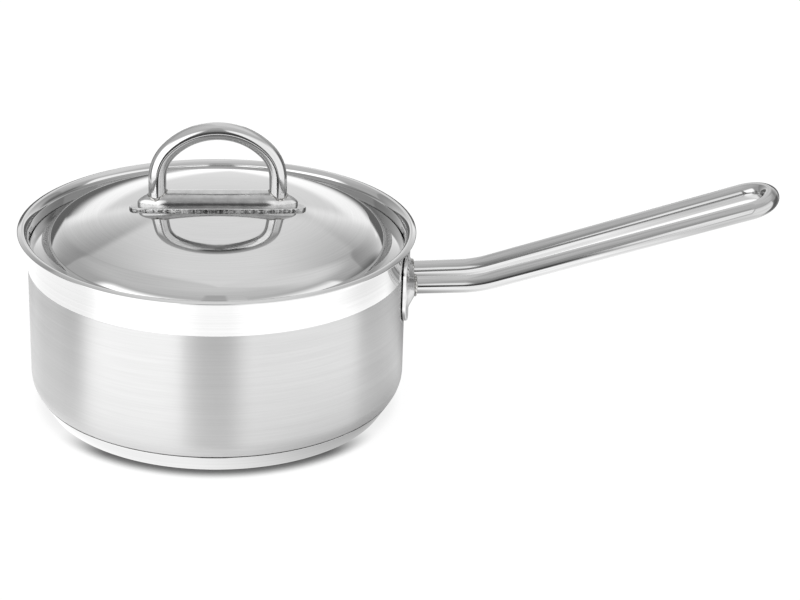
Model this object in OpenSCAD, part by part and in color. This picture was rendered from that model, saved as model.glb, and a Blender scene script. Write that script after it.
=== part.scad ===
// Steel saucepan with a recessed domed lid. Millimetres, +Z up.
// The origin is on the pan's axis, on the plane the base stands on. The long handle points along +X.

/* [Pan body] */
// Inner diameter of the mouth
mouth_d = 160; // [120:1:240]
// Height of the lip's outer edge above the table
lip_h = 79.5; // [65:0.5:140]
// Thickness of the sheet at the mouth
mouth_t = 0.7; // [0.5:0.1:1.2]
// Width of the ledge that carries the lid
ledge_w = 1; // [0.6:0.1:2]
// Depth of the ledge below the lip's outer edge
ledge_depth = 7.5; // [6:0.1:12]
// Outer radius of the bend between wall and floor
corner_r = 12; // [8:0.5:20]

/* [Lip] */
// How far the lip reaches out from the wall
lip_reach = 4.1; // [3.5:0.1:8]
// Radius of the bend from the wall to the lip
lip_bend_r = 2; // [1.5:0.1:3]
// How far the lip's outer edge lies below its crest
lip_fall = 0.4; // [0:0.1:1]

/* [Base] */
// Thickness of the aluminium core
core_t = 3; // [2:0.5:6]
// Thickness of the capsule's sheet
capsule_t = 0.7; // [0.5:0.1:1.2]
// Height of the capsule's upper rim
capsule_h = 8.3; // [7:0.1:10]
// Radius of the capsule's lower edge
capsule_edge_r = 2.5; // [1.5:0.1:3.5]
// Steepness of the capsule's side, from the table
capsule_slope = 58; // [50:1:75]
// Height of the groove between capsule and body
groove_h = 0.3; // [0.2:0.1:1]

/* [Handle bracket] */
// Width of the bracket across the wall
bracket_w = 43; // [36:1:60]
// Height of the bracket
bracket_h = 31.8; // [28:0.2:39]
// Radius of the bracket's corners
bracket_corner_r = 9; // [4:0.5:12]
// Thickness of the bracket's plate
bracket_t = 1.3; // [0.8:0.1:2.5]
// Gap between wall and bracket, bridged by the weld spots
bracket_gap = 0.5; // [0.3:0.1:1.5]
// How far the boss stands out from the plate
boss_out = 2; // [1:0.1:6]
// How far the boss's face reaches past the bar
boss_margin = 0.65; // [0.4:0.05:2]
// Spread of the boss's side for each millimetre of its depth
boss_spread = 1.7; // [0.5:0.1:2.5]
// Diameter of a weld spot
spot_d = 5; // [3:0.5:8]
// Distance of the weld spots from the bracket's edges
spot_inset = 6; // [4:0.5:9]

/* [Handle bar] */
// Diameter of the bar
bar_d = 7.5; // [5:0.1:10]
// Distance between the bar's two ends, centre to centre
bar_pitch = 17.6; // [12:0.2:26]
// Depth of the bar's ends below the lip's outer edge
bar_depth = 23.8; // [21:0.2:34]
// Angle by which each leg spreads outwards
leg_splay = 0.9; // [0:0.1:3]
// Rise of the first stretch, in degrees
root_rise = 1.7; // [0:0.1:10]
// Rise of the long stretch, in degrees
grip_rise = 16.5; // [12:0.5:35]
// Distance from the boss to the corner of the bend
bend_run = 27.2; // [20:0.2:50]
// Radius of the bend
bend_r = 54.5; // [15:0.5:80]
// Distance from the boss to the start of the loop
leg_run = 143; // [90:1:240]
// Width of a weld bead on the bar
bar_bead = 0.8; // [0.4:0.1:1.5]

/* [Lid] */
// Thickness of the lid's sheet
lid_t = 0.8; // [0.5:0.1:1.5]
// Gap between the lid's edge and the mouth
lid_side_gap = 0.4; // [0.3:0.1:1]
// Gap between the lid's flange and the ledge
lid_seat_gap = 0.3; // [0.2:0.1:0.6]
// Width of the lid's flange
flange_w = 4.6; // [3:0.1:8]
// Downward slope of the flange, in degrees
flange_slope = 8; // [0:1:15]
// Height of the dome above the flange
dome_rise = 15.8; // [13.4:0.2:22]
// Radius of the dome's crown
crown_r = 280; // [260:5:600]
// Radius of the dome's shoulder
shoulder_r = 13; // [11:0.5:20]
// Radius of the bend between the dome's side and the flange
flange_bend_r = 2; // [1:0.1:4]

/* [Lid plate] */
// Length of the plate's ridge, tip to tip
ridge_len = 68; // [63:0.2:90]
// Radius of the ridge's half-round top
ridge_r = 5.3; // [4.8:0.1:6]
// Length of each tapered tip of the ridge
ridge_tip = 5.3; // [4:0.1:7]
// Radius that each tip ends in
ridge_tip_r = 0.6; // [0.3:0.1:1.5]
// Height of the ridge above the dome
ridge_h = 6.1; // [5.6:0.1:8]
// How far the plate's foot reaches past the ridge's tips
foot_reach = 3.5; // [1.6:0.1:5]
// Depth of the plate's foot in the middle
foot_depth = 18.2; // [16:0.2:26]
// Radius of the foot's long edges
foot_edge_r = 100; // [95:5:300]
// Thickness of the plate's foot
plate_foot_t = 1.2; // [0.8:0.1:1.6]

/* [Lid arch] */
// Diameter of the arch's bar
arch_bar_d = 7.5; // [5:0.1:7.8]
// Distance of each foot of the arch from the ridge's tip
arch_inset = 8.5; // [8.2:0.1:12]
// Height of the arch's straight feet above the ridge
arch_foot_h = 5.4; // [3:0.2:16]
// Rise of the arch's centre line over its feet
arch_rise = 21.2; // [20:0.1:22]
// Radius of the arch's shoulders, at the centre line
arch_shoulder_r = 18; // [12:0.5:18.5]
// Width of a weld bead on the arch
arch_bead = 0.8; // [0.4:0.1:0.8]

/* [Hidden] */
$fn = 96;

// Two lengths of one bar stop this far from their joint, under a sleeve this thick
seam = 0.01;
// Angle by which the lid's shoulder overlaps its neighbours
lap = 0.5;

// A vector in the profile plane at an angle from the radius, in degrees
function dir(a) = [cos(a), sin(a)];

// Pan: radii and heights
mouth_r = mouth_d / 2;
wall_r = mouth_r + mouth_t;
wall_t = mouth_t + ledge_w;
bore_r = wall_r - wall_t;
lip_r = wall_r + lip_reach;
crest_z = lip_h + lip_fall;
ledge_z = lip_h - ledge_depth;
floor_z = capsule_t + core_t;
corner_x = wall_r - corner_r;
corner_z = floor_z + corner_r;

// Capsule: its rim is flush with the body's bend, and its side slopes down to the foot
capsule_side_out = dir(capsule_slope - 90);
capsule_rim_r = corner_x + sqrt(pow(corner_r, 2) - pow(corner_z - capsule_h, 2));
capsule_edge_top = capsule_edge_r * (1 + capsule_side_out[1]);
foot_r = capsule_rim_r - (capsule_h - capsule_edge_top) / tan(capsule_slope)
         - capsule_edge_r * capsule_side_out[0];
capsule_edge_end = [foot_r, capsule_edge_r] + capsule_edge_r * capsule_side_out;
capsule_inner_rim_r = capsule_rim_r - capsule_t / sin(capsule_slope);

// Bracket and bar
bracket_in_r = wall_r + bracket_gap;
bracket_out_r = bracket_in_r + bracket_t;
bar_z = lip_h - bar_depth;
bracket_z = bar_z + 1.6;
boss_x = bracket_out_r + boss_out;
boss_r = bar_d / 2 + boss_margin;
boss_root_x = sqrt(pow(bracket_in_r, 2) - pow(bracket_w / 2, 2));
boss_root_r = boss_r + boss_spread * (boss_x - boss_root_x);
bar_root = [boss_x, bar_pitch / 2, bar_z];

// Bar: the bend and the loop, in the upright plane of one leg
bend_half = (grip_rise - root_rise) / 2;
bend_cut = bend_r * tan(bend_half);
bend_corner = [bend_run, bend_run * tan(root_rise)];
bend_start = bend_corner - bend_cut * dir(root_rise);
bend_centre = bend_start + bend_r * dir(root_rise + 90);
bend_end = bend_corner + bend_cut * dir(grip_rise);
leg_end = bend_corner + (leg_run - bend_run) / cos(grip_rise) * dir(grip_rise);

// Bar: the loop's plane, which holds both legs
loop_tilt = atan2(sin(grip_rise), cos(grip_rise) * cos(leg_splay));
loop_splay = asin(cos(grip_rise) * sin(leg_splay));
leg_end_y = bar_root[1] + leg_end[0] * sin(leg_splay);
loop_r = leg_end_y / cos(loop_splay);
loop_set = loop_r * sin(loop_splay);
loop_centre = [bar_root[0] + leg_end[0] * cos(leg_splay) + loop_set * cos(loop_tilt), 0,
               bar_root[2] + leg_end[1] + loop_set * sin(loop_tilt)];

// Lid: flange, bends and crown, as points on the outer surface
lid_r = mouth_r - lid_side_gap;
flange_up = dir(90 - flange_slope);
flange_edge = [lid_r - lid_t / 2, ledge_z + lid_seat_gap + lid_t / 2];
flange_end = flange_edge + lid_t / 2 * flange_up;
flange_start = flange_end - [1, -tan(flange_slope)] * (flange_end[0] - lid_r + flange_w);
dome_z = flange_start[1] + dome_rise;
crown_z = dome_z - crown_r;
flange_bend_centre = flange_start + flange_bend_r * flange_up;

// Lid: the shoulder touches the crown from inside and the flange's bend from outside
bend_reach = flange_bend_centre - [0, crown_z];
shoulder_reach = crown_r - shoulder_r;
shoulder_gap = shoulder_r + flange_bend_r;
reach_sum = pow(norm(bend_reach), 2) + pow(shoulder_reach, 2) - pow(shoulder_gap, 2);
shoulder_angle = atan2(bend_reach[1], bend_reach[0])
                 + acos(reach_sum / (2 * norm(bend_reach) * shoulder_reach));
shoulder_centre = [0, crown_z] + shoulder_reach * dir(shoulder_angle);
side_run = flange_bend_centre - shoulder_centre;
side_angle = atan2(side_run[1], side_run[0]);

// Lid plate and arch
ridge_z = dome_z + ridge_h;
ridge_axis_z = ridge_z - ridge_r;
tip_x = ridge_len / 2;
arch_x = tip_x - arch_inset;
arch_spring_z = ridge_z + arch_foot_h;
arch_shoulder_x = arch_x - arch_shoulder_r;
arch_top_r = (pow(arch_shoulder_x, 2) + pow(arch_rise, 2) - pow(arch_shoulder_r, 2))
             / (2 * (arch_rise - arch_shoulder_r));
arch_turn = atan2(arch_top_r - arch_rise, arch_shoulder_x);

// A band of sheet round a corner of a profile, between two angles less than 180 degrees apart
module bend_band(centre, outer, t, from, to) {
    far = 2 * outer / cos((to - from) / 2);
    translate(centre) intersection() {
        difference() {
            circle(r = outer);
            circle(r = outer - t);
        }
        polygon([[0, 0], far * dir(from), far * dir((from + to) / 2), far * dir(to)]);
    }
}

// A bent round bar round the Z axis, from one angle to another, a seam short of both ends
module bend(r, d, from, to) {
    short = asin(seam / r);
    rotate([0, 0, from + short]) rotate_extrude(angle = to - from - 2 * short)
        translate([r, 0]) circle(d = d);
}

// The same in the XZ plane, between two angles from +X towards +Z
module bent_bar(centre, r, d, from, to) {
    translate([centre[0], 0, centre[1]]) rotate([90, 0, 0]) bend(r, d, from, to);
}

// A straight round bar in the XZ plane, a seam short of both ends
module straight_bar(a, b, d) {
    run = b - a;
    start = a + seam * run / norm(run);
    translate([start[0], 0, start[1]]) rotate([0, atan2(run[0], run[1]), 0])
        cylinder(d = d, h = norm(run) - 2 * seam);
}

// The hair-thin sleeve that closes the seam between two lengths of one bar
module seam_sleeve(at, angle, d) {
    translate([at[0], 0, at[1]]) rotate([0, 90 - angle, 0])
        cylinder(d = d + 2 * seam, h = 40 * seam, center = true);
}

// The region that the capsule wraps, up to its inner surface, in profile
module capsule_inside() {
    inner_edge_r = capsule_edge_r - capsule_t;
    edge_end = [foot_r, capsule_edge_r] + inner_edge_r * capsule_side_out;
    translate([0, capsule_t]) square([foot_r, inner_edge_r]);
    translate([foot_r, capsule_edge_r]) intersection() {
        circle(r = inner_edge_r);
        polygon([[0, 0], 2 * capsule_edge_r * dir(-90), 3 * capsule_edge_r * dir(capsule_slope / 2 - 90),
                 2 * capsule_edge_r * dir(capsule_slope - 90)]);
    }
    polygon([[0, capsule_t + inner_edge_r], [foot_r, capsule_edge_r], edge_end,
             [capsule_inner_rim_r, capsule_h], [0, capsule_h]]);
}

// The space that the body's outer surface fills near the base, in profile
module body_solid() {
    translate([corner_x, corner_z]) circle(r = corner_r);
    translate([0, floor_z]) square([corner_x, 2 * corner_r]);
    translate([0, corner_z]) square([wall_r, corner_r]);
}

module pan_body() {
    flange_z = crest_z - mouth_t;
    edge_z = lip_h - mouth_t / 2;
    color("silver") rotate_extrude() difference() {
        union() {
            translate([0, floor_z]) square([corner_x, wall_t]);
            bend_band([corner_x, corner_z], corner_r, wall_t, -90, 0);
            translate([bore_r, corner_z]) square([wall_t, ledge_z - corner_z]);
            translate([mouth_r, ledge_z]) square([mouth_t, crest_z - lip_bend_r - ledge_z]);
            bend_band([mouth_r + lip_bend_r, crest_z - lip_bend_r], lip_bend_r, mouth_t, 90, 180);
            polygon([[mouth_r + lip_bend_r, flange_z], [lip_r - mouth_t / 2, edge_z - mouth_t / 2],
                     [lip_r - mouth_t / 2, edge_z + mouth_t / 2], [mouth_r + lip_bend_r, crest_z]]);
            translate([lip_r - mouth_t / 2, edge_z]) circle(d = mouth_t);
        }
        capsule_rebate();
    }
}

// The cut in the body's bend that lets the capsule lie flush, with the groove above its rim
module capsule_rebate() {
    polygon([[capsule_inner_rim_r - capsule_h / tan(capsule_slope), 0], [wall_r, 0],
             [wall_r, capsule_h + groove_h], [capsule_inner_rim_r, capsule_h + groove_h],
             [capsule_inner_rim_r, capsule_h]]);
}

module base_core() {
    color("lightgray") rotate_extrude() difference() {
        capsule_inside();
        body_solid();
    }
}

module base_capsule() {
    color("gainsboro") rotate_extrude() union() {
        square([foot_r, capsule_t]);
        bend_band([foot_r, capsule_edge_r], capsule_edge_r, capsule_t, -90, capsule_slope - 90);
        polygon([[capsule_rim_r, capsule_h], [capsule_inner_rim_r, capsule_h],
                 capsule_edge_end - capsule_t * capsule_side_out, capsule_edge_end]);
    }
}

// The bracket's outline, seen along the handle, pulled out into a block
module bracket_block() {
    w = bracket_w / 2 - bracket_corner_r;
    h = bracket_h / 2 - bracket_corner_r;
    translate([0, 0, bracket_z]) rotate([90, 0, 90]) linear_extrude(height = boss_x + 1) union() {
        square([bracket_w, 2 * h], center = true);
        square([2 * w, bracket_h], center = true);
        for (sy = [-1, 1], sz = [-1, 1]) translate([sy * w, sz * h]) circle(r = bracket_corner_r);
    }
}

// The raised boss: two cones and the wedge between them
module boss() {
    depth = boss_x - boss_root_x;
    for (side = [-1, 1]) translate([boss_root_x, side * bar_pitch / 2, bar_z])
        rotate([0, 90, 0]) cylinder(h = depth, r1 = boss_root_r, r2 = boss_r);
    translate([0, 0, bar_z]) rotate([90, 0, 0]) linear_extrude(height = bar_pitch, center = true)
        polygon([[boss_root_x, -boss_root_r], [boss_x, -boss_r], [boss_x, boss_r],
                 [boss_root_x, boss_root_r]]);
}

module handle_bracket() {
    color("silver") difference() {
        union() {
            intersection() {
                cylinder(r = bracket_out_r, h = lip_h, $fn = 180);
                bracket_block();
            }
            intersection() {
                boss();
                bracket_block();
            }
        }
        translate([0, 0, -1]) cylinder(r = bracket_in_r, h = lip_h + 2, $fn = 180);
    }
}

module bracket_welds() {
    y = bracket_w / 2 - spot_inset;
    z = bracket_h / 2 - spot_inset;
    color("gray") intersection() {
        difference() {
            cylinder(r = bracket_in_r, h = lip_h, $fn = 180);
            translate([0, 0, -1]) cylinder(r = wall_r, h = lip_h + 2, $fn = 180);
        }
        for (sy = [-1, 1], sz = [-1, 1]) translate([0, sy * y, bracket_z + sz * z])
            rotate([0, 90, 0]) cylinder(d = spot_d, h = boss_x);
    }
}

// One leg of the bar, from inside the boss to the loop
module bar_leg() {
    translate(bar_root) rotate([0, 0, leg_splay]) {
        straight_bar(-boss_out * dir(root_rise), bend_start, bar_d);
        seam_sleeve(bend_start, root_rise, bar_d);
        bent_bar(bend_centre, bend_r, bar_d, root_rise - 90, grip_rise - 90);
        seam_sleeve(bend_end, grip_rise, bar_d);
        straight_bar(bend_end, leg_end, bar_d);
        seam_sleeve(leg_end, grip_rise, bar_d);
    }
}

module handle_bar() {
    turn = 90 + loop_splay;
    color("silver") difference() {
        union() {
            bar_leg();
            mirror([0, 1, 0]) bar_leg();
            translate(loop_centre) rotate([0, -loop_tilt, 0]) bend(loop_r, bar_d, -turn, turn);
        }
        translate([0, -bracket_w / 2, bar_z - bar_d]) cube([boss_x, bracket_w, 2 * bar_d]);
    }
}

// One weld bead, round the end of one leg
module leg_bead() {
    difference() {
        translate(bar_root) rotate([0, 90, 0])
            cylinder(h = bar_bead, r1 = boss_r, r2 = bar_d / 2 + 0.1);
        bar_leg();
    }
}

module bar_weld_beads() {
    color("gray") union() {
        leg_bead();
        mirror([0, 1, 0]) leg_bead();
    }
}

module lid_shell() {
    color("gainsboro") rotate_extrude() union() {
        bend_band([0, crown_z], crown_r, lid_t, shoulder_angle, 90);
        bend_band(shoulder_centre, shoulder_r, lid_t, side_angle - lap, shoulder_angle + lap);
        bend_band(flange_bend_centre, flange_bend_r + lid_t, lid_t, side_angle + 180,
                  270 - flange_slope + lap);
        polygon([flange_start - lid_t * flange_up, flange_end - lid_t * flange_up, flange_end,
                 flange_start]);
        translate(flange_edge) circle(d = lid_t);
    }
}

// A long six-sided outline with blunt tips
module six_sides(half_len, half_depth, tip) {
    flat = half_len - tip;
    polygon([[-half_len, 0], [-flat, -half_depth], [flat, -half_depth], [half_len, 0],
             [flat, half_depth], [-flat, half_depth]]);
}

// The ridge's round bar, tapered at both tips
module ridge_bar() {
    flat = tip_x - ridge_tip;
    translate([0, 0, ridge_axis_z]) rotate([0, 90, 0]) rotate_extrude()
        polygon([[0, -tip_x], [ridge_tip_r, -tip_x], [ridge_r, -flat], [ridge_r, flat],
                 [ridge_tip_r, tip_x], [0, tip_x]]);
}

// The ridge's outline, seen from above
module ridge_outline() {
    flat = tip_x - ridge_tip;
    polygon([[-tip_x, -ridge_tip_r], [-flat, -ridge_r], [flat, -ridge_r], [tip_x, -ridge_tip_r],
             [tip_x, ridge_tip_r], [flat, ridge_r], [-flat, ridge_r], [-tip_x, ridge_tip_r]]);
}

// The foot's outline, seen from above: two bowed edges and blunt tips
module foot_outline() {
    intersection() {
        foot_edges();
        six_sides(tip_x + foot_reach, foot_depth / 2 + 1, ridge_tip + foot_reach / 2);
    }
}

// The region between the foot's two bowed edges
module foot_edges() {
    intersection() {
        translate([0, foot_edge_r - foot_depth / 2]) circle(r = foot_edge_r);
        translate([0, foot_depth / 2 - foot_edge_r]) circle(r = foot_edge_r);
    }
}

module lid_plate() {
    below = dome_z - dome_rise / 2;
    color("silver") difference() {
        union() {
            ridge_bar();
            translate([0, 0, below]) linear_extrude(height = ridge_axis_z - below) ridge_outline();
            intersection() {
                translate([0, 0, below]) linear_extrude(height = ridge_z - below) foot_outline();
                translate([0, 0, crown_z]) sphere(r = crown_r + plate_foot_t, $fn = 180);
            }
        }
        translate([0, 0, crown_z]) sphere(r = crown_r, $fn = 180);
    }
}

// The arch's feet are cut to sit on the ridge
module lid_arch() {
    color("silver") difference() {
        union() {
            arch_side();
            mirror([1, 0, 0]) arch_side();
            bent_bar([0, arch_spring_z + arch_rise - arch_top_r], arch_top_r, arch_bar_d,
                     arch_turn, 180 - arch_turn);
        }
        ridge_bar();
    }
}

// One side of the arch: its straight foot and its shoulder
module arch_side() {
    centre = [arch_shoulder_x, arch_spring_z];
    foot_h = arch_foot_h + ridge_r / 2;
    translate([arch_x, 0, arch_spring_z - foot_h]) cylinder(d = arch_bar_d, h = foot_h - seam);
    seam_sleeve([arch_x, arch_spring_z], 90, arch_bar_d);
    bent_bar(centre, arch_shoulder_r, arch_bar_d, 0, arch_turn);
    seam_sleeve(centre + arch_shoulder_r * dir(arch_turn), arch_turn + 90, arch_bar_d);
}

// A collar of weld metal round each foot, down to the ridge
module arch_weld_beads() {
    bead_r = arch_bar_d / 2 + arch_bead;
    low_z = ridge_axis_z + sqrt(pow(ridge_r, 2) - pow(bead_r, 2));
    top_z = ridge_z + arch_bead;
    color("gray") difference() {
        for (side = [-1, 1]) translate([side * arch_x, 0, low_z])
            cylinder(h = top_z - low_z, r1 = bead_r, r2 = arch_bar_d / 2 + 0.1);
        for (side = [-1, 1]) translate([side * arch_x, 0, low_z - 1])
            cylinder(d = arch_bar_d, h = top_z - low_z + 2);
        ridge_bar();
    }
}

pan_body();
base_core();
base_capsule();
handle_bracket();
bracket_welds();
handle_bar();
bar_weld_beads();
lid_shell();
lid_plate();
lid_arch();
arch_weld_beads();
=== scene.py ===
"""A steel saucepan with a looped bar handle and a recessed domed lid, on a pale studio floor."""

import math

import bmesh
import bpy
from mathutils import Matrix, Vector


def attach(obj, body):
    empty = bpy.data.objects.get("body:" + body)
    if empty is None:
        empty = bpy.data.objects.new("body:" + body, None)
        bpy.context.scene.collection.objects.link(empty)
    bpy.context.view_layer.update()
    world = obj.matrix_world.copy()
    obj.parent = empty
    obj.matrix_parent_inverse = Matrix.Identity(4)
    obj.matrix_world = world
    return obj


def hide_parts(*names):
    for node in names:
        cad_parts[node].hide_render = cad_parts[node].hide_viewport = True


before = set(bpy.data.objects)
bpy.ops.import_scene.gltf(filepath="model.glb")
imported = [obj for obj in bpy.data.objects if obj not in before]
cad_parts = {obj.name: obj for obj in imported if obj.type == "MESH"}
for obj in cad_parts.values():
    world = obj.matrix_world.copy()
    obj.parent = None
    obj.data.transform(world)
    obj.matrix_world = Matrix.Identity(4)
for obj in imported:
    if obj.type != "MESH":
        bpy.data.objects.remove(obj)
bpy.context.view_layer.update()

MM = 0.001
Y_AXIS = Vector((0, 1, 0))
Z_AXIS = Vector((0, 0, 1))


# ---------------------------------------------------------------- camera

def look_from(place, turn, pitch, roll, lens):
    """A camera at a place: facing +Y, turned about Z, pitched down and then rolled, in degrees."""
    data = bpy.data.cameras.new("camera")
    data.sensor_width = 36
    data.lens = lens
    data.clip_start = 0.05
    data.clip_end = 50
    camera = bpy.data.objects.new("camera", data)
    turned = Matrix.Rotation(math.radians(turn), 4, "Z")
    tilted = Matrix.Rotation(math.radians(90 - pitch), 4, "X")
    rolled = Matrix.Rotation(math.radians(roll), 4, "Z")
    camera.matrix_world = Matrix.Translation(place) @ turned @ tilted @ rolled
    bpy.context.scene.collection.objects.link(camera)
    bpy.context.scene.camera = camera


look_from(Vector((-1.36, -919.19, 439.71)) * MM, -5, 23.166, 1.894, 103.65)


# ---------------------------------------------------------------- sizes, in millimetres

# The pan's outside, the mouth above the lid's ledge and the bore below it
WALL_R, MOUTH_R, BORE_R = 80.7, 80.0, 79.0
MOUTH_T, WALL_T = WALL_R - MOUTH_R, WALL_R - BORE_R
FLOOR_Z, BAND_Z, LEDGE_Z = 3.7, 63.8, 72.0
CORNER_R = 12.0
LIP_Z, LIP_ACROSS, LIP_UP = 76.0, 2.3, 3.2
RIM_R, RIM_Z = 84.8, 79.15

# The base capsule, and the groove between its rim and the wall
FOOT_R, FOOT_EDGE_R, CAPSULE_T = 71.58, 2.5, 0.7
CAPSULE_RIM_X, CAPSULE_RIM_Z, CAPSULE_RIM_R = 78.0, 8.15, 0.15
GROOVE_R, GROOVE_LOW_Z, GROOVE_TOP_Z = 77.354, 8.3, 9.05

# The long handle
BAR_R = 3.75
BAR_Y, BAR_Z = 8.8, 55.7
BRACKET_IN_R = WALL_R + 0.5
BRACKET_OUT_R = BRACKET_IN_R + 1.3
BRACKET_W, BRACKET_H, BRACKET_CORNER, BRACKET_Z = 43.0, 31.8, 9.0, 57.3
BOSS_X, BOSS_R, BOSS_STEEPNESS = BRACKET_OUT_R + 2, 4.4, 1.7

# The lid: a dome, a shoulder, and a flange that slopes down and out to the ledge
LID_R, LID_T, SEAT_GAP = 79.6, 0.8, 0.3
DOME_Z, CROWN_R, SHOULDER_R = 89.494, 280.0, 13.0
FLANGE_IN_R, FLANGE_BEND_R, FLANGE_SLOPE = 75.0, 2.0, 8.0

# The plate's ridge and foot, and the arch that stands on the ridge
RIDGE_R, RIDGE_TIP_X, RIDGE_FLAT_X = 5.3, 34.0, 20.0
RIDGE_POINT = 0.665  # 0.5 would make the tips plain ovals
RIDGE_TOP_Z = DOME_Z + 6.1
RIDGE_Z = RIDGE_TOP_Z - RIDGE_R
PLATE_X, PLATE_HALF_Y, PLATE_BOW_R, PLATE_T = 37.5, 9.1, 100.0, 1.2
ARCH_X, ARCH_SPRING_Z = 25.5, RIDGE_TOP_Z + 5.4
ARCH_SHOULDER_R, ARCH_RISE = 18.0, 21.2

# How far a piece is let into the one that it is welded to or lies on
SUNK = 0.1


def on_arc(centre, radius, angle):
    """The point of a profile's arc at an angle in degrees, from +X towards +Z."""
    return (centre[0] + radius * math.cos(math.radians(angle)),
            centre[1] + radius * math.sin(math.radians(angle)))


def arc(centre, radius, start, end, steps):
    """Points along a profile's arc, both ends included."""
    return [on_arc(centre, radius, start + (end - start) * i / steps) for i in range(steps + 1)]


def oval(centre, across, up, start, end, steps):
    """Points along a profile's oval, both ends included."""
    return [(centre[0] + across * x, centre[1] + up * z)
            for x, z in arc((0, 0), 1, start, end, steps)]


def dome_height(x, y):
    """Height of the dome's outer skin near its middle."""
    return DOME_Z - CROWN_R + math.sqrt(CROWN_R ** 2 - x * x - y * y)


# ---------------------------------------------------------------- pieces from mesh operators

def only(kind, items):
    """The items of one kind, from an operator's mixed list."""
    return [item for item in items if isinstance(item, kind)]


def lathe(profile, steps=288):
    """Spins a closed profile, which starts and ends on the axis or joins up, round the Z axis."""
    mesh = bmesh.new()
    verts = [mesh.verts.new((x * MM, 0, z * MM)) for x, z in profile]
    for a, b in zip(verts, verts[1:]):
        mesh.edges.new((a, b))
    if profile[0][0] > 0:
        mesh.edges.new((verts[-1], verts[0]))
    bmesh.ops.spin(mesh, geom=mesh.verts[:] + mesh.edges[:], cent=(0, 0, 0), axis=Z_AXIS,
                   dvec=(0, 0, 0), angle=2 * math.pi, steps=steps, use_merge=True,
                   use_duplicate=False)
    bmesh.ops.remove_doubles(mesh, verts=mesh.verts[:], dist=1e-7)
    return mesh


def sweep(start, moves, radius, segments=48):
    """Draws a round bar from a starting place, whose Z axis is the way forward, along its moves.

    A move is a length, or a bend as (radius, degrees, steps, heading), where the heading is the
    angle from the place's X axis to the bend's inside. Each point keeps its place on the
    straight bar as the attribute "bar".
    """
    mesh = bmesh.new()
    layer = mesh.verts.layers.float_vector.new("bar")
    verts = bmesh.ops.create_circle(mesh, cap_ends=True, radius=radius, segments=segments)["verts"]
    for vert in verts:
        vert[layer] = vert.co
    edges = list({edge for vert in verts for edge in vert.link_edges})
    bmesh.ops.transform(mesh, matrix=start, verts=verts)
    steps = []
    for move in moves:
        if isinstance(move, tuple):
            bend_r, degrees, count, heading = move
            turn = math.radians(degrees) / count
            facing = Matrix.Rotation(math.radians(heading), 4, "Z")
            middle = facing @ Matrix.Translation((bend_r, 0, 0))
            step = middle @ Matrix.Rotation(turn, 4, "Y") @ middle.inverted()
            steps += [(step, bend_r * turn)] * count
        else:
            steps.append((Matrix.Translation((0, 0, move)), move))
    place = start.copy()
    for step, length in steps:
        onwards = place @ step @ place.inverted()
        place = place @ step
        grown = bmesh.ops.extrude_edge_only(mesh, edges=edges)["geom"]
        verts = only(bmesh.types.BMVert, grown)
        ring = set(verts)
        edges = [edge for edge in only(bmesh.types.BMEdge, grown) if ring.issuperset(edge.verts)]
        bmesh.ops.transform(mesh, matrix=onwards, verts=verts)
        for vert in verts:
            vert[layer] += Vector((0, 0, length))
    bmesh.ops.contextual_create(mesh, geom=edges)
    return mesh


def soften(mesh, edges, radius, segments):
    """Rounds some edges of a mesh."""
    bmesh.ops.bevel(mesh, geom=edges, offset=radius, segments=segments, profile=0.5,
                    affect="EDGES", material=-1)


def slice_up(mesh, axis, low, high, step):
    """Cuts a mesh across, a step apart."""
    place = low + step
    while place < high - step / 2:
        geom = mesh.verts[:] + mesh.edges[:] + mesh.faces[:]
        bmesh.ops.bisect_plane(mesh, geom=geom, dist=1e-8, plane_co=axis * place, plane_no=axis)
        place += step


def finish_mesh(name, mesh, body, materials, replaced=(), pick=None):
    """Turns a bmesh into a piece that rides on a body and stands for CAD nodes."""
    bmesh.ops.recalc_face_normals(mesh, faces=mesh.faces[:])
    data = bpy.data.meshes.new(name)
    for material in materials:
        data.materials.append(material)
    for face in mesh.faces:
        face.smooth = True
        if pick:
            face.material_index = pick(face.calc_center_median())
    mesh.to_mesh(data)
    mesh.free()
    data.set_sharp_from_angle(angle=math.radians(40))
    piece = bpy.data.objects.new(name, data)
    bpy.context.scene.collection.objects.link(piece)
    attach(piece, body)
    if replaced:
        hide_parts(*replaced)


# ---------------------------------------------------------------- materials

def srgb(code):
    """A colour written as an sRGB hex value, turned linear."""
    values = [int(code[i:i + 2], 16) / 255 for i in (0, 2, 4)]
    return tuple(v / 12.92 if v <= 0.04045 else ((v + 0.055) / 1.055) ** 2.4 for v in values) + (1,)


def add(tree, kind, settings=None, inputs=None):
    """Adds a node with its settings, and its inputs as plain values or as other nodes' outputs."""
    node = tree.nodes.new("ShaderNode" + kind)
    for key, value in (settings or {}).items():
        setattr(node, key, value)
    for key, source in (inputs or {}).items():
        if isinstance(source, bpy.types.NodeSocket):
            tree.links.new(source, node.inputs[key])
        else:
            node.inputs[key].default_value = source
    return node


def new_material(name):
    """An empty material with its tree and its output."""
    material = bpy.data.materials.new(name)
    material.use_nodes = True
    tree = material.node_tree
    tree.nodes.clear()
    return material, tree, tree.nodes.new("ShaderNodeOutputMaterial")


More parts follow.
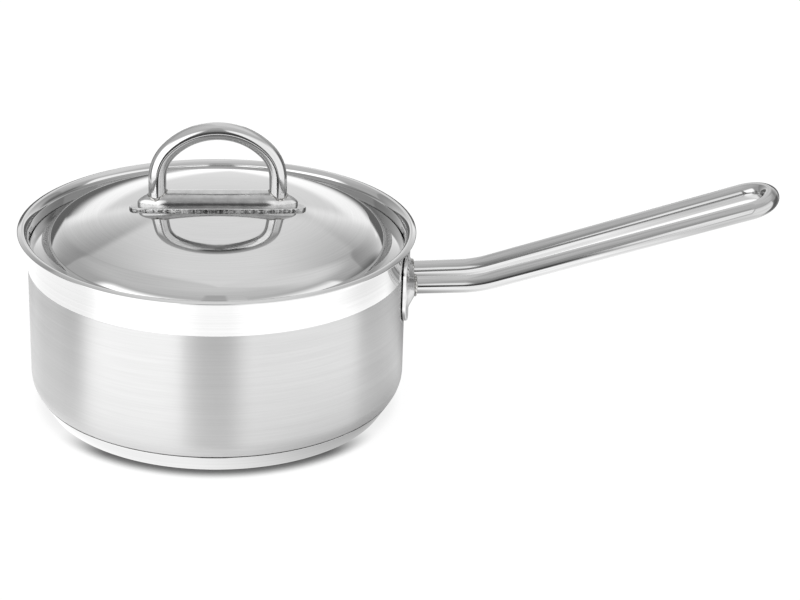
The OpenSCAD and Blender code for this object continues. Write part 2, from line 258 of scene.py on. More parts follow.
def ring_lines(tree, spacing, length, detail=2.0):
    """Fine lines round the Z axis, a spacing apart and about a length long, in millimetres."""
    per_metre = 1 / (spacing * MM)
    place = add(tree, "TexCoord").outputs["Object"]
    flat = add(tree, "VectorMath", {"operation": "MULTIPLY"}, {0: place, 1: (1, 1, 0)}).outputs[0]
    radius = add(tree, "VectorMath", {"operation": "LENGTH"}, {0: flat}).outputs["Value"]
    heading = add(tree, "VectorMath", {"operation": "NORMALIZE"}, {0: flat}).outputs[0]
    round_part = add(tree, "VectorMath", {"operation": "SCALE"},
                     {0: heading, "Scale": WALL_R / length}).outputs[0]
    up_part = add(tree, "VectorMath", {"operation": "MULTIPLY"},
                  {0: place, 1: (0, 0, per_metre)}).outputs[0]
    where = add(tree, "VectorMath", {"operation": "ADD"}, {0: round_part, 1: up_part}).outputs[0]
    out = add(tree, "Math", {"operation": "MULTIPLY"}, {0: radius, 1: per_metre}).outputs[0]
    return add(tree, "TexNoise", {"noise_dimensions": "4D"},
               {"Vector": where, "W": out, "Scale": 1.0, "Detail": detail}).outputs["Fac"]


def bar_lines(tree, spacing, length):
    """Fine lines along a bent bar, from each point's place on the straight bar."""
    place = add(tree, "Attribute", {"attribute_name": "bar"}).outputs["Vector"]
    across, along = 1 / (spacing * MM), 1 / (length * MM)
    scaled = add(tree, "VectorMath", {"operation": "MULTIPLY"},
                 {0: place, 1: (across, across, along)}).outputs[0]
    return add(tree, "TexNoise", None,
               {"Vector": scaled, "Scale": 1.0, "Detail": 2.0}).outputs["Fac"]


def clouds(tree, size, detail=1.0, distortion=0.0):
    """Soft patches of about a size in millimetres."""
    place = add(tree, "TexCoord").outputs["Object"]
    return add(tree, "TexNoise", None, {"Vector": place, "Scale": 1 / (size * MM),
                                        "Detail": detail, "Distortion": distortion}).outputs["Fac"]


def spread(tree, pattern, low, high, start=0.3, end=0.7):
    """A pattern's middle range stretched between two values."""
    return add(tree, "MapRange", None, {"Value": pattern, "From Min": start, "From Max": end,
                                        "To Min": low, "To Max": high}).outputs[0]


def relief(tree, layers):
    """Bumps laid over each other, each a pattern and its height in millimetres."""
    under = {}
    for pattern, height in layers:
        bump = add(tree, "Bump", None,
                   {"Strength": 1.0, "Distance": height * MM, "Height": pattern, **under})
        under = {"Normal": bump.outputs[0]}
    return bump.outputs[0]


def metal(name, dark, light, tone, roughness, layers, brushing=None):
    """A bare metal: two close greys mixed by a pattern, with its roughness and its relief.

    Where it is brushed round the Z axis, brushing says how strongly.
    """
    material, tree, output = new_material(name)
    colour = add(tree, "Mix", {"data_type": "RGBA"},
                 {0: tone(tree), 6: srgb(dark), 7: srgb(light)}).outputs[2]
    inputs = {"Base Color": colour, "Metallic": 1.0, "Roughness": roughness(tree),
              "Normal": relief(tree, layers(tree))}
    if brushing:
        round_z = add(tree, "Tangent", {"direction_type": "RADIAL", "axis": "Z"}).outputs[0]
        inputs.update({"Anisotropic": brushing, "Anisotropic Rotation": 0.25, "Tangent": round_z})
    shader = add(tree, "BsdfPrincipled", None, inputs)
    tree.links.new(shader.outputs[0], output.inputs[0])
    return material


# Stainless steel sheet, spun and then buffed on the lathe: a mirror with the faintest hairlines
# round it, a slight waviness from the spinning and smears that dull it a little.
buffed_steel = metal(
    "buffed_spun_steel", "C7C7C7", "CDCDCD",
    lambda tree: spread(tree, ring_lines(tree, 0.5, 60), 0, 1),
    lambda tree: spread(tree, clouds(tree, 35, 3), 0.035, 0.065),
    lambda tree: [(clouds(tree, 28), 0.02), (ring_lines(tree, 0.5, 60), 0.00004)])

# The same sheet ground with a belt while it turns: a satin face whose lines run round the pan, so
# that it smears what it mirrors up and down. Real lines are about 0.1 mm apart; these are drawn
# at 0.45 mm so that they show.
satin_steel = metal(
    "satin_ground_steel", "BFBFBF", "C5C5C5",
    lambda tree: spread(tree, ring_lines(tree, 0.45, 30, 3), 0, 1),
    lambda tree: spread(tree, ring_lines(tree, 0.45, 45, 1), 0.33, 0.37),
    lambda tree: [(ring_lines(tree, 0.45, 30, 3), 0.0006)],
    brushing=1.0)


def belted_bar(name, dark, light):
    """Round bar drawn, bent and polished with a belt along it: bright, with lines along it."""
    return metal(
        name, dark, light,
        lambda tree: spread(tree, bar_lines(tree, 0.5, 25), 0, 1),
        lambda tree: spread(tree, clouds(tree, 20, 3), 0.05, 0.10),
        lambda tree: [(bar_lines(tree, 0.5, 25), 0.0006), (clouds(tree, 14), 0.006)])


bar_steel = belted_bar("belt_polished_bar", "C0C0C0", "CACACA")
# The long handle's bar: the same belted steel in darker greys, painted shade that darkens the whole
# handle.
darker_shaded_bar_steel = belted_bar("belted_bar_painted_darker", "AEAEAE", "BEBEBE")

# Thick sheet pressed and then polished on a wheel: a mirror with the soft dimples of the press.
pressed_steel = metal(
    "pressed_polished_steel", "B0B0B0", "C6C6C6",
    lambda tree: spread(tree, clouds(tree, 3, 3), 0, 1),
    lambda tree: spread(tree, clouds(tree, 9, 3), 0.07, 0.15),
    lambda tree: [(clouds(tree, 6, 2, 0.4), 0.06), (clouds(tree, 2.2, 2), 0.012)])

# The lid's ridge and foot, pressed too but finished with a softer wheel: still shiny, with every
# reflection drawn out a little.
ridge_steel = metal(
    "pressed_soft_polished_steel", "B4B4B4", "C6C6C6",
    lambda tree: spread(tree, clouds(tree, 3, 3), 0, 1),
    lambda tree: spread(tree, clouds(tree, 9, 3), 0.15, 0.20),
    lambda tree: [(clouds(tree, 6, 2, 0.4), 0.02), (clouds(tree, 1.2), 0.0012)])

# Weld metal left as it set: dull, lumpy and a little darker than the steel beside it.
weld_steel = metal(
    "set_weld_metal", "5E5D5C", "BBBAB8",
    lambda tree: spread(tree, clouds(tree, 1.2, 3), 0, 1, 0.35, 0.6),
    lambda tree: spread(tree, clouds(tree, 0.9, 3), 0.14, 0.36),
    lambda tree: [(clouds(tree, 1.4, 3), 0.16)])

# The plate's edge as the shears left it: bright bites and dark torn parts of about 1 mm, so that
# the edge looks speckled from a distance. The torn parts are far darker than bare steel: painted
# shade that makes the edge a dark strip.
sheared_steel_and_shade = metal(
    "sheared_edge_and_painted_shade", "505050", "B7B7B7",
    lambda tree: spread(tree, clouds(tree, 1.1, 3), 0, 1, 0.4, 0.62),
    lambda tree: spread(tree, clouds(tree, 0.9, 2), 0.18, 0.40),
    lambda tree: [(clouds(tree, 0.8, 3), 0.12)])

# Rolled aluminium plate, the heat spreader inside the base: pale, soft and evenly dull.
core_aluminium = metal(
    "rolled_aluminium", "C9CACC", "D6D7D9",
    lambda tree: spread(tree, clouds(tree, 2.5, 4), 0, 1),
    lambda tree: spread(tree, clouds(tree, 4, 3), 0.34, 0.46),
    lambda tree: [(clouds(tree, 1.0, 3), 0.004)])

# The base's underside, faced flat with a turning tool: rings about 0.9 mm apart that fan the
# light out like a record.
turned_steel = metal(
    "turned_steel", "B0B0B0", "C3C3C3",
    lambda tree: spread(tree, ring_lines(tree, 0.9, 300), 0, 1),
    lambda tree: spread(tree, ring_lines(tree, 1.4, 200), 0.24, 0.34),
    lambda tree: [(ring_lines(tree, 0.9, 300), 0.006)],
    brushing=0.7)


# ---------------------------------------------------------------- pan

def pan_profile():
    """The drawn shell: its outside from the base up to the rim, then its inside back down."""
    corner = (WALL_R - CORNER_R, FLOOR_Z + CORNER_R)
    lip = (WALL_R + LIP_ACROSS, LIP_Z)
    rim = (RIM_R - MOUTH_T / 2, RIM_Z)
    above_groove = -math.degrees(math.asin((corner[1] - GROOVE_TOP_Z) / CORNER_R))
    below_groove = -52.2  # from here to the groove the shell runs beside the capsule's flare
    points = [(0, FLOOR_Z), (20, FLOOR_Z), (45, FLOOR_Z)]
    points += arc(corner, CORNER_R, -90, below_groove, 8)
    points += [(GROOVE_R, GROOVE_LOW_Z), (GROOVE_R, GROOVE_TOP_Z)]
    points += arc(corner, CORNER_R, above_groove, 0, 10)
    points += [(WALL_R, z) for z in (32, 48, BAND_Z, 71)]
    points += oval(lip, LIP_ACROSS, LIP_UP, 180, 90, 12)
    points += arc(rim, MOUTH_T / 2, -90, 90, 8)
    points += oval(lip, LIP_ACROSS + MOUTH_T, LIP_UP + MOUTH_T, 84, 180, 16)
    points += [(MOUTH_R, 74.8), (MOUTH_R, LEDGE_Z + 0.25), (MOUTH_R - 0.1, LEDGE_Z + 0.05),
               (MOUTH_R - 0.35, LEDGE_Z), (BORE_R + 0.2, LEDGE_Z), (BORE_R, LEDGE_Z - 0.2)]
    points += [(BORE_R, 48), (BORE_R, 32)]
    points += arc(corner, CORNER_R - WALL_T, 0, -90, 14)
    points += [(x, FLOOR_Z + WALL_T) for x in (45, 20, 0)]
    return points


def is_satin(centre):
    """0 for the polished band, lip and mouth, 1 for the satin side, inside and floor."""
    radius = math.hypot(centre.x, centre.y)
    return 0 if centre.z > BAND_Z * MM and radius > (BORE_R + 0.05) * MM else 1


finish_mesh("pan_shell", lathe(pan_profile()), "pan", [buffed_steel, satin_steel],
            ["pan_body"], pick=is_satin)


def capsule_profile():
    """The capsule: flat underneath, turned up round the foot and flared out to its rim."""
    edge = (FOOT_R, FOOT_EDGE_R)
    flare = -32
    points = [(0, 0), (30, 0), (60, 0)]
    points += arc(edge, FOOT_EDGE_R, -90, flare, 8)
    points += arc((CAPSULE_RIM_X, CAPSULE_RIM_Z), CAPSULE_RIM_R, flare, 90, 3)
    points += arc((CAPSULE_RIM_X - 0.05, CAPSULE_RIM_Z), CAPSULE_RIM_R, 90, 180 + flare, 3)
    points += arc(edge, FOOT_EDGE_R - CAPSULE_T, flare, -90, 6)
    points += [(x, CAPSULE_T) for x in (60, 30, 0)]
    return points


def is_underside(centre):
    """1 for the turned face that the pan stands on."""
    return 1 if centre.z < 0.05 * MM else 0


finish_mesh("base_shell", lathe(capsule_profile()), "pan", [buffed_steel, turned_steel],
            ["base_capsule"], pick=is_underside)


# ---------------------------------------------------------------- handle

def handle_loop():
    """One bar: out of the boss, up the bend, round the loop and back the same way."""
    splay, rise, grip = math.radians(-0.9), math.radians(1.7), math.radians(16.5)
    bend_r, run, leg = 54.5 * MM, 27.2 * MM, 143 * MM
    buried = 0.6 * MM
    out = Vector((math.cos(splay), math.sin(splay), 0))
    side = Vector((-math.sin(splay), math.cos(splay), 0))
    root = Vector((BOSS_X, -BAR_Y, BAR_Z)) * MM
    cut = bend_r * math.tan((grip - rise) / 2)
    first = out * math.cos(rise) + Z_AXIS * math.sin(rise)
    second = out * math.cos(grip) + Z_AXIS * math.sin(grip)
    root_run, long_leg = run / math.cos(rise) - cut, (leg - run) / math.cos(grip) - cut
    # The loop lies in the plane of the two legs and ends where they come back along it
    end = root + first * (root_run + cut) + second * (long_leg + cut)
    half_spread = math.asin(math.cos(grip) * math.sin(-splay))
    loop_r = -end.y / math.cos(half_spread)
    loop_normal = Vector((-math.sin(grip), 0, math.cos(grip) * math.cos(splay))).normalized()
    inward = loop_normal.cross(second)
    leg_up = second.cross(side)
    heading = math.degrees(math.atan2(inward.dot(second.cross(leg_up)), inward.dot(leg_up)))
    bend = (bend_r, math.degrees(grip - rise), 16, 0)
    loop = (loop_r, 180 + 2 * math.degrees(half_spread), 48, heading)
    start_up = first.cross(side)
    facing = Matrix((start_up, first.cross(start_up), first)).transposed().to_4x4()
    return sweep(Matrix.Translation(root - first * buried) @ facing,
                 [root_run + buried, bend, long_leg, loop, long_leg, bend, root_run + buried],
                 BAR_R * MM)


finish_mesh("handle_loop", handle_loop(), "pan", [darker_shaded_bar_steel], ["handle_bar"])


def smooth_max(one, other, blend):
    """The higher of two values, rounded over where they are about as high."""
    part = min(1.0, max(0.0, 0.5 + (one - other) / (2 * blend)))
    return other + (one - other) * part + blend * part * (1 - part)


def bracket():
    """A pressed plate with round corners, bent round the pan, with a soft boss for the bar."""
    mesh = bmesh.new()
    thick, edge_r, step = BRACKET_OUT_R - BRACKET_IN_R, 0.4, 0.9
    boss_top_r, boss_foot_r = 0.8, 0.7
    size = Matrix.Diagonal((thick, BRACKET_W, BRACKET_H, 1))
    middle = Vector(((BRACKET_IN_R + BRACKET_OUT_R) / 2, 0, BRACKET_Z))
    bmesh.ops.create_cube(mesh, size=1, matrix=Matrix.Translation(middle) @ size)
    soften(mesh, [edge for edge in mesh.edges
                  if abs((edge.verts[0].co - edge.verts[1].co).x) > thick / 2], BRACKET_CORNER, 14)
    soften(mesh, [edge for edge in mesh.edges
                  if all(vert.co.x > middle.x for vert in edge.verts)
                  and len(edge.link_faces) == 2], edge_r, 3)
    # Enough faces for the bend round the pan and for the boss
    slice_up(mesh, Y_AXIS, -BRACKET_W / 2, BRACKET_W / 2, step)
    slice_up(mesh, Z_AXIS, BRACKET_Z - BRACKET_H / 2, BRACKET_Z + BRACKET_H / 2, step)
    for vert in mesh.verts:
        x, y, z = vert.co
        bent = math.sqrt(x * x - y * y)
        if x > BRACKET_OUT_R - 0.01:
            reach = math.hypot(max(0.0, abs(y) - BAR_Y), z - BAR_Z)
            slope = smooth_max(reach - BOSS_R, 0.0, boss_top_r)
            bent = smooth_max(bent, BOSS_X - slope / BOSS_STEEPNESS, boss_foot_r)
        vert.co = Vector((min(bent, BOSS_X), y, z)) * MM
    return mesh


finish_mesh("bar_bracket", bracket(), "pan", [pressed_steel], ["handle_bracket"])


def weld_ring(major, minor, ripples):
    """A small rippled ring of weld metal, flat on the XY plane."""
    ripple, lump = 0.16, 0.10
    mesh = lathe([on_arc((major, 0), minor, 360 * i / 12) for i in range(12)], steps=72)
    for vert in mesh.verts:
        turn = math.atan2(vert.co.y, vert.co.x)
        swell = 1 + ripple * math.sin(ripples * turn) + lump * math.sin(3 * turn + 1)
        ring = Vector((vert.co.x, vert.co.y, 0)).normalized() * major * MM
        vert.co = ring + (vert.co - ring) * swell
    return mesh


for side, name in ((-1, "bar_weld_front"), (1, "bar_weld_back")):
    bead = weld_ring(BAR_R + 0.35, 0.7, 13)
    place = Matrix.Translation(Vector((BOSS_X + 0.05, side * BAR_Y, BAR_Z)) * MM)
    bmesh.ops.transform(bead, matrix=place @ Matrix.Rotation(math.pi / 2, 4, "Y"),
                        verts=bead.verts[:])
    finish_mesh(name, bead, "pan", [weld_steel], ["bar_weld_beads"])


# ---------------------------------------------------------------- lid

def lid_profile():
    """The lid's outside from its top to the flange's edge, then its inside back up."""
    crown = (0, DOME_Z - CROWN_R)
    edge = (LID_R - LID_T / 2, LEDGE_Z + SEAT_GAP + LID_T / 2)
    across_flange = 90 - FLANGE_SLOPE
    flange_end = on_arc(edge, LID_T / 2, across_flange)
    drop = (flange_end[0] - FLANGE_IN_R) * math.tan(math.radians(FLANGE_SLOPE))
    bend = on_arc((FLANGE_IN_R, flange_end[1] + drop), FLANGE_BEND_R, across_flange)
    # The shoulder's arc touches the crown's from inside and the bend's from outside
    reach = CROWN_R - SHOULDER_R
    far = math.hypot(bend[0], bend[1] - crown[1])
    opening = math.acos((far ** 2 + reach ** 2 - (SHOULDER_R + FLANGE_BEND_R) ** 2)
                        / (2 * far * reach))
    top = math.degrees(math.atan2(bend[1] - crown[1], bend[0]) + opening)
    shoulder = on_arc(crown, reach, top)
    low = math.degrees(math.atan2(bend[1] - shoulder[1], bend[0] - shoulder[0]))

    def skin(inset):
        return (arc(crown, CROWN_R - inset, 90, top, 24)
                + arc(shoulder, SHOULDER_R - inset, top, low, 20)[1:]
                + arc(bend, FLANGE_BEND_R + inset, 180 + low, 180 + across_flange, 8)[1:])

    rim = arc(edge, LID_T / 2, across_flange, across_flange - 180, 8)
    return skin(0) + rim + skin(LID_T)[::-1]


finish_mesh("lid_dome", lathe(lid_profile()), "lid", [buffed_steel], ["lid_shell"])


def ridge_radius(x):
    """The ridge's radius at a place along it: a round bar with drawn-out oval tips."""
    along = max(0.0, (abs(x) - RIDGE_FLAT_X) / (RIDGE_TIP_X - RIDGE_FLAT_X))
    return RIDGE_R * (1 - along ** 2) ** RIDGE_POINT


def plate_ridge():
    """The ridge: a round bar along X with tapered tips, let down to the dome underneath."""
    taper = RIDGE_TIP_X - RIDGE_FLAT_X
    places = [RIDGE_FLAT_X + taper * math.cos(math.radians(turn)) for turn in range(0, 91, 5)]
    count = 18
    places += [RIDGE_FLAT_X * (1 - i / count) for i in range(1, count + 1)]
    half = [(ridge_radius(x), x) for x in places]
    mesh = lathe(half + [(x, -z) for x, z in half[-2::-1]], steps=96)
    lie_down = Matrix.Translation((0, 0, RIDGE_Z * MM)) @ Matrix.Rotation(math.pi / 2, 4, "Y")
    bmesh.ops.transform(mesh, matrix=lie_down, verts=mesh.verts[:])
    for vert in mesh.verts:
        if vert.co.z < (RIDGE_Z - 0.01) * MM:
            vert.co.z = (dome_height(vert.co.x / MM, vert.co.y / MM) - SUNK) * MM
    return mesh


def plate_foot():
    """The foot under the ridge: thin sheet with two bowed edges and blunt tips, on the dome."""
    tip_length, tip_half_y, edge_r = 7.05, 0.4, 0.25
    mesh = bmesh.new()
    bmesh.ops.create_grid(mesh, x_segments=96, y_segments=24, size=1)
    for vert in mesh.verts:
        x = vert.co.x * PLATE_X
        bow = math.sqrt(PLATE_BOW_R ** 2 - x * x) - PLATE_BOW_R + PLATE_HALF_Y
        blunt = (PLATE_X - abs(x)) * (PLATE_HALF_Y + 1) / tip_length + tip_half_y
        y = vert.co.y * min(bow, blunt)
        vert.co = Vector((x, y, dome_height(x, y) - SUNK)) * MM
    grown = bmesh.ops.extrude_face_region(mesh, geom=mesh.faces[:])["geom"]
    top = only(bmesh.types.BMVert, grown)
    bmesh.ops.translate(mesh, verts=top, vec=(0, 0, (PLATE_T + SUNK) * MM))
    raised = set(top)
    soften(mesh, [edge for edge in mesh.edges if raised.issuperset(edge.verts)
                  and any(not raised.issuperset(face.verts) for face in edge.link_faces)],
           edge_r * MM, 3)
    return mesh


def is_cut(centre):
    """1 for the foot's cut edge, 0 for its polished top."""
    top = dome_height(centre.x / MM, centre.y / MM) + PLATE_T
    return 1 if centre.z < (top - 0.3) * MM else 0


finish_mesh("plate_ridge", plate_ridge(), "lid", [ridge_steel], ["lid_plate"])
finish_mesh("plate_foot", plate_foot(), "lid", [ridge_steel, sheared_steel_and_shade],
            ["lid_plate"], pick=is_cut)


def lid_arch():
    """The arch's bar, from inside the ridge up, over and down again."""
    buried_z = RIDGE_Z + 2
    foot = Matrix.Translation(Vector((ARCH_X, 0, buried_z)) * MM)
    facing = Matrix(((-1, 0, 0), (0, -1, 0), (0, 0, 1))).to_4x4()
    inset, left = ARCH_X - ARCH_SHOULDER_R, ARCH_RISE - ARCH_SHOULDER_R
    crown_r = (inset ** 2 + ARCH_RISE ** 2 - ARCH_SHOULDER_R ** 2) / (2 * left)
    turn = math.degrees(math.atan2(crown_r - ARCH_RISE, inset))
    rise = (ARCH_SPRING_Z - buried_z) * MM
    shoulder = (ARCH_SHOULDER_R * MM, turn, 16, 0)
    top = (crown_r * MM, 180 - 2 * turn, 32, 0)
    return sweep(foot @ facing, [rise, shoulder, top, shoulder, rise], BAR_R * MM)


finish_mesh("lid_handle", lid_arch(), "lid", [bar_steel], ["lid_arch"])

for side, name in ((-1, "arch_weld_left"), (1, "arch_weld_right")):
    bead = weld_ring(BAR_R + 0.15, 0.35, 17)
    bmesh.ops.translate(bead, verts=bead.verts[:], vec=(side * ARCH_X * MM, 0, 0))
    for vert in bead.verts:
        x, y = vert.co.x / MM, vert.co.y / MM
        vert.co.z += (RIDGE_Z + math.sqrt(max(0.0, ridge_radius(x) ** 2 - y ** 2))) * MM
    finish_mesh(name, bead, "lid", [weld_steel], ["arch_weld_beads"])


# ---------------------------------------------------------------- CAD nodes that stay as they are

for node, material in (("base_core", core_aluminium), ("bracket_welds", weld_steel)):
    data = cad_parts[node].data
    data.materials.clear()
    data.materials.append(material)


# ---------------------------------------------------------------- studio

# Steel gives back about three quarters of what it gets. The levels below are what polished
# steel should show, so whatever it mirrors is brighter by this much.
ROOM_LIGHT = 1.333


def soft_step(tree, value, low, high, rising=True):
    """0 below one value and 1 above the other, or the other way round."""
    start, end = (0.0, 1.0) if rising else (1.0, 0.0)
    return add(tree, "MapRange", {"interpolation_type": "SMOOTHSTEP"},
               {"Value": value, "From Min": low, "From Max": high,
                "To Min": start, "To Max": end}).outputs[0]


def product(tree, result, *factors):
    """Some values multiplied together."""
    for factor in factors:
        result = add(tree, "Math", {"operation": "MULTIPLY"}, {0: result, 1: factor}).outputs[0]
    return result


def weighed_sum(tree, result, *terms):
    """A first value plus some others, each times its weight."""
    for weight, value in terms:
        result = add(tree, "Math", {"operation": "MULTIPLY_ADD"},
                     {0: value, 1: weight, 2: result}).outputs[0]
    return result


def away(tree, value, middle=0.0):
    """How far a value is from a middle, either way."""
    offset = add(tree, "Math", {"operation": "SUBTRACT"}, {0: value, 1: middle}).outputs[0]
    return add(tree, "Math", {"operation": "ABSOLUTE"}, {0: offset}).outputs[0]


def between(tree, value, low, high, soft):
    """1 between two values, with soft edges."""
    return product(tree, soft_step(tree, value, low - soft, low + soft),
                   soft_step(tree, value, high - soft, high + soft, False))


def bearing(tree, axes):
    """The heading of a direction, in degrees from +Y towards +X."""
    turn = add(tree, "Math", {"operation": "ARCTAN2"}, {0: axes["X"], 1: axes["Y"]}).outputs[0]
    return add(tree, "Math", {"operation": "DEGREES"}, {0: turn}).outputs[0]


def lay(tree, light, level, mask):
    """A level of light laid over what is there, where the mask lets it."""
    return add(tree, "Mix", {"data_type": "FLOAT"}, {0: mask, 2: light, 3: level}).outputs[0]


def mirrored_light(tree, kind, level):
    """An emission or a background that metal shows at a level."""
    return add(tree, kind, None, {"Color": (1, 1, 1, 1),
                                  "Strength": product(tree, level, ROOM_LIGHT)}).outputs[0]


def stage_sheet(name, material, place):
    """A flat sheet that belongs to the studio and not to the pan."""
    mesh = bmesh.new()
    bmesh.ops.create_grid(mesh, x_segments=1, y_segments=1, size=1, matrix=place)
    data = bpy.data.meshes.new(name)
    mesh.to_mesh(data)
    mesh.free()
    data.materials.append(material)
    sheet = bpy.data.objects.new(name, data)
    bpy.context.scene.collection.objects.link(sheet)


def pale_floor():
    """A white sweep. Metal sees a white table round the pan, and past its edge the room."""
    material, tree, output = new_material("white_paper_sweep")
    place = add(tree, "TexCoord").outputs["Object"]
    axes = add(tree, "SeparateXYZ", None, {0: place}).outputs
    heading = bearing(tree, axes)
    far = add(tree, "VectorMath", {"operation": "LENGTH"}, {0: place}).outputs["Value"]

    # What the camera sees is white, with a painted shadow close under the pan: the floor's glow is
    # dimmed where ambient occlusion finds the pan near. It is laid as if the light came from
    # behind, so the line is in front and fades at its sides.
    near = add(tree, "AmbientOcclusion", {"samples": 16}, {"Distance": 0.0078}).outputs["AO"]
    shade = lay(tree, 0.06, 1.0, soft_step(tree, near, 0.25, 0.9))
    behind = soft_step(tree, away(tree, heading), 118, 142, False)
    shade = lay(tree, shade, 1.0, product(tree, behind, 0.85))
    shade = lay(tree, shade, 1.0, soft_step(tree, far, 0.30, 0.36))
    lit = add(tree, "BsdfDiffuse", None, {"Color": (0.12, 0.12, 0.12, 1)}).outputs[0]
    white = add(tree, "Emission", None, {"Strength": product(tree, shade, 0.92)}).outputs[0]
    seen = add(tree, "AddShader", None, {0: lit, 1: white}).outputs[0]

    # The table that the metal sees, under the two soft boxes: brightest at the front left,
    # darkest at the back right and under the handle
    table = lay(tree, 1.20, 1.45, between(tree, heading, -165, -113, 10))
    table = lay(tree, table, 1.38, between(tree, heading, 104, 168, 8))
    table = lay(tree, table, 1.10, between(tree, heading, -113, 30, 10))
    table = lay(tree, table, 0.42, between(tree, heading, 15, 68, 12))
    table = lay(tree, table, 0.92, soft_step(tree, axes["X"], 0.19, 0.25))
    # Close to the pan it lies in the pan's shade, which is darker on the right
    pan_shade = lay(tree, 1.07, 0.45, soft_step(tree, axes["X"], -0.02, 0.075))
    table = lay(tree, table, pan_shade, soft_step(tree, far, 0.085, 0.135, False))
    past_edge = soft_step(tree, far, 0.27, 0.36)
    clear = add(tree, "BsdfTransparent").outputs[0]
    glow = mirrored_light(tree, "Emission", table)
    mirrored = add(tree, "MixShader", None, {0: past_edge, 1: glow, 2: clear}).outputs[0]

    glossy = add(tree, "LightPath").outputs["Is Glossy Ray"]
    both = add(tree, "MixShader", None, {0: glossy, 1: seen, 2: mirrored})
    tree.links.new(both.outputs[0], output.inputs[0])
    stage_sheet("floor", material, Matrix.Diagonal((3, 3, 1, 1)))


def front_wall():
    """The near end of the room, 1 m in front, seen only in the metal.

    It has a dark gap between the two soft boxes. Because the wall is near, the long handle
    beside the pan mirrors the gap further to the left than the pan does.
    """
    material, tree, output = new_material("dark_gap_between_soft_boxes")
    place = add(tree, "TexCoord").outputs["Object"]
    axes = add(tree, "SeparateXYZ", None, {0: place}).outputs
    across, up = axes["X"], axes["Z"]
    # The soft box on the right, dimmer near the table and at its top
    box = lay(tree, 0.62, 1.20, soft_step(tree, up, 0.0, 0.24))
    box = lay(tree, box, 1.20, soft_step(tree, across, 0.25, 0.34))
    box = lay(tree, box, 0.60, soft_step(tree, up, 0.68, 0.88))
    # The gap left of it, nearly black near the table and greyer upwards, with a leaning edge
    gap = lay(tree, 0.07, 0.34, soft_step(tree, up, 0.10, 0.50))
    gap = lay(tree, gap, 0.46, soft_step(tree, up, 0.55, 0.90))
    lean = soft_step(tree, up, 0.05, 0.45)
    past_edge = weighed_sum(tree, lay(tree, -0.205, -0.11, lean), (1.0, across))
    level = lay(tree, box, gap, soft_step(tree, past_edge, -0.03, 0.03, False))
    # Left and right the wall fades out and the room shows
    past_left = weighed_sum(tree, lay(tree, 0.37, 0.19, soft_step(tree, up, 0.0, 0.45)),
                            (1.0, across))
    glossy = add(tree, "LightPath").outputs["Is Glossy Ray"]
    solid = product(tree, glossy, soft_step(tree, past_left, -0.04, 0.04),
                    soft_step(tree, across, 0.34, 0.42, False))
    clear = add(tree, "BsdfTransparent").outputs[0]
    both = add(tree, "MixShader", None,
               {0: solid, 1: clear, 2: mirrored_light(tree, "Emission", level)})
    tree.links.new(both.outputs[0], output.inputs[0])
    upright = Matrix.Translation((0, -1.0, 0.6)) @ Matrix.Rotation(math.pi / 2, 4, "X")
    stage_sheet("front_wall", material, upright @ Matrix.Diagonal((0.55, 0.95, 1, 1)))


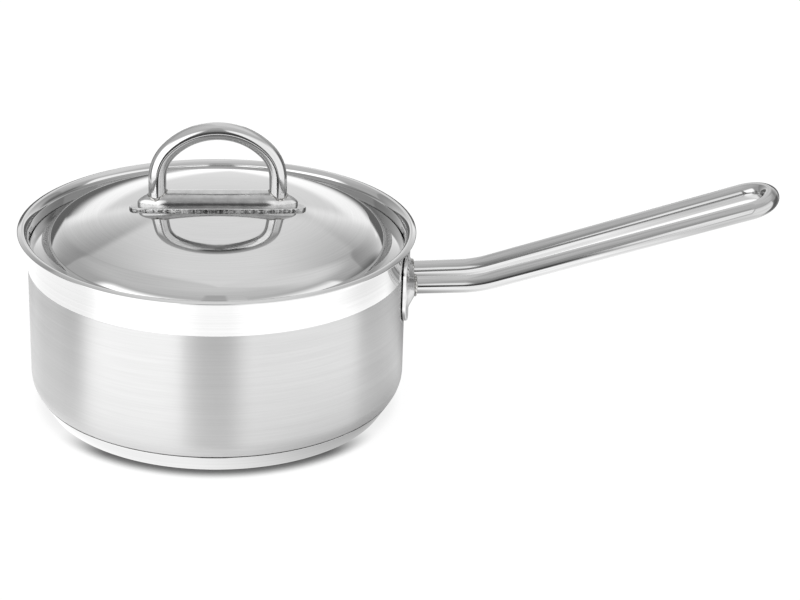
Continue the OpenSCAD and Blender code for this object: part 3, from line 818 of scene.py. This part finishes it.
def studio():
    """A white room to the camera; metal mirrors soft boxes, grey walls and the dark gaps between.

    Directions are a heading from +Y towards +X and a height over the horizon, in degrees.
    """
    world = bpy.data.worlds.new("studio")
    bpy.context.scene.world = world
    world.use_nodes = True
    tree = world.node_tree
    tree.nodes.clear()
    output = tree.nodes.new("ShaderNodeOutputWorld")
    direction = add(tree, "TexCoord").outputs["Generated"]
    axes = add(tree, "SeparateXYZ", None, {0: direction}).outputs
    heading = bearing(tree, axes)
    slant = add(tree, "Math", {"operation": "ARCSINE"}, {0: axes["Z"]}).outputs[0]
    height = add(tree, "Math", {"operation": "DEGREES"}, {0: slant}).outputs[0]
    side = away(tree, heading)

    # Grey walls under a paler ceiling, palest over the back and to the right
    light = lay(tree, 0.46, 0.60, soft_step(tree, height, 30, 54))
    light = lay(tree, light, 0.69, soft_step(tree, height, 56, 82))
    back_right = product(tree, soft_step(tree, height, 38, 56), between(tree, heading, 2, 105, 22))
    light = lay(tree, light, 0.78, back_right)
    back = product(tree, soft_step(tree, height, 17, 26), soft_step(tree, side, 5, 21, False))
    light = lay(tree, light, 0.80, back)

    # Two oval grey flats behind the pan, one to each side, which pale towards the table and the
    # middle
    aside = away(tree, heading, 2.5)
    spot = add(tree, "CombineXYZ", None, {0: aside, 1: height}).outputs[0]
    for operation, by in (("SUBTRACT", (35, 12, 0)), ("DIVIDE", (31, 26, 1))):
        spot = add(tree, "VectorMath", {"operation": operation}, {0: spot, 1: by}).outputs[0]
    reach = add(tree, "VectorMath", {"operation": "DOT_PRODUCT"},
                {0: spot, 1: spot}).outputs["Value"]
    paling = product(tree, weighed_sum(tree, 36 / 20, (-1 / 20, height)),
                     weighed_sum(tree, 62 / 43, (-1 / 43, aside)))
    for operation, by in (("MAXIMUM", 0.0), ("POWER", 1.3)):
        paling = add(tree, "Math", {"operation": operation}, {0: paling, 1: by}).outputs[0]
    light = lay(tree, light, weighed_sum(tree, 0.335, (0.54, paling)),
                soft_step(tree, reach, 0.93, 1.08, False))

    # Low on either side of the back a dark hump, and over the right one a bright shelf
    shelf = product(tree, between(tree, height, 14, 17.5, 1.5), between(tree, heading, 12, 29, 2))
    light = lay(tree, light, 0.98, shelf)
    from_top = weighed_sum(tree, -14.0, (1.0, side))
    under_hump = weighed_sum(tree, height, (0.016, product(tree, from_top, from_top)))
    hump = product(tree, soft_step(tree, under_hump, 15, 18, False),
                   soft_step(tree, side, 41, 48, False))
    light = lay(tree, light, 0.13, hump)

    # Between the humps a white paper edge in the shape of a V, with the grey paper inside it,
    # and under the V the white edge of the far table
    wedge = weighed_sum(tree, -5.1, (1.0, away(tree, heading, 0.7)), (-0.50, height))
    low = soft_step(tree, height, 16, 22, False)
    for level, start, end in ((1.02, -1.2, 0.8), (0.73, -4.0, -2.4)):
        mask = product(tree, low, soft_step(tree, wedge, start, end, False))
        light = lay(tree, light, level, mask)
    table_edge = product(tree, soft_step(tree, height, -9, -4, False),
                         soft_step(tree, side, 10, 16, False))
    light = lay(tree, light, 1.30, table_edge)

    # Square fields: a level, then the two edges and the softness of its headings and heights
    for level, headings, heights in (
            (0.15, (50, 87, 8), (-60, 20, 10)),     # the dark room to the right
            (0.18, (-108, -78, 6), (-60, 3, 6)),    # the gap at the foot of the left wall
            (1.60, (-168, -96, 7), (-18, 34, 8)),   # the left soft box
            (1.08, (91, 168, 3), (-60, 34, 8))):    # the right soft box
        field = product(tree, between(tree, heading, *headings), between(tree, height, *heights))
        light = lay(tree, light, level, field)

    white = add(tree, "Background", None, {"Color": (1, 1, 1, 1), "Strength": 1.0}).outputs[0]
    glossy = add(tree, "LightPath").outputs["Is Glossy Ray"]
    both = add(tree, "MixShader", None,
               {0: glossy, 1: white, 2: mirrored_light(tree, "Background", light)})
    tree.links.new(both.outputs[0], output.inputs[0])


pale_floor()
front_wall()
studio()
bpy.context.scene.view_settings.view_transform = "Standard"
